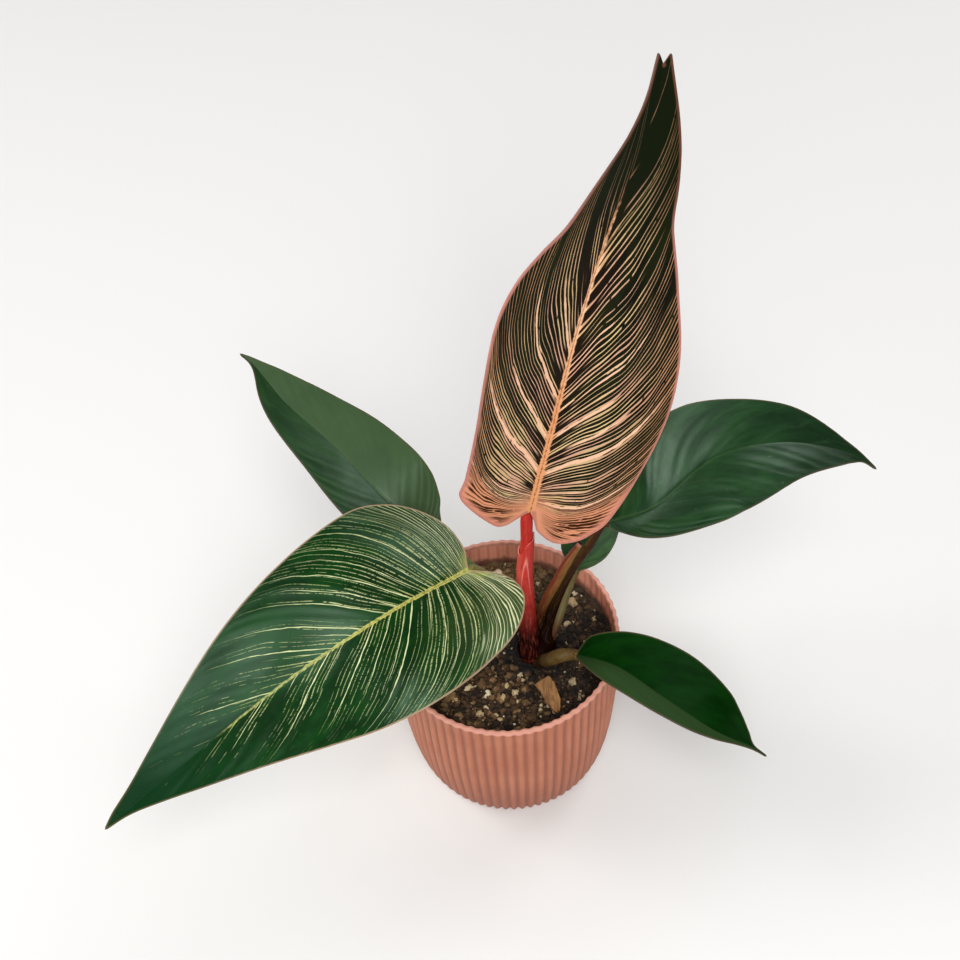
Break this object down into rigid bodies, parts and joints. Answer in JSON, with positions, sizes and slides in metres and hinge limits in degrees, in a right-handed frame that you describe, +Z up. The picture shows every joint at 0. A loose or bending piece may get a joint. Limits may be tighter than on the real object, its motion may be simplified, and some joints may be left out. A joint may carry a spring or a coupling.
{
  "type": "potted philodendron",
  "caption": "Potted aroid with one tall pinstriped leaf, a broad pinstriped leaf and plain glossy leaves on stalks from a short stem, in a ribbed round pot filled with soil.",
  "frame": {"origin": "centre of the pot's flat base, which is what the plant stands on", "axes": "+Z up along the pot's axis, -Y towards the front of the plant, +X to the right as seen from the front"},
  "size_m": [0.3016, 0.181, 0.292],
  "materials": {
    "pot": "matte",
    "soil": "matte",
    "bark": "matte",
    "stem": "satin",
    "stalk_red": "satin",
    "stalk_green": "satin",
    "stalk_brown": "satin",
    "stalk_tan": "satin",
    "bract": "satin",
    "leaf_pink_striped": "satin",
    "leaf_cream_striped": "gloss",
    "leaf_green": "gloss"
  },
  "bodies": {
    "root": {"pot": "pot", "soil": "soil", "bark_chip": "bark", "stem": "stem", "stalk_tall": "stalk_red", "stalk_front": "stalk_green", "stalk_back": "stalk_green", "stalk_right": "stalk_brown", "stalk_low": "stalk_tan", "stalk_hidden": "stalk_tan", "sheath": "stalk_red", "bract": "bract", "blade_tall": "leaf_pink_striped", "blade_front": "leaf_cream_striped", "blade_back": "leaf_green", "blade_right": "leaf_green", "blade_low": "leaf_green", "blade_hidden": "leaf_green"}
  },
  "joints": []
}
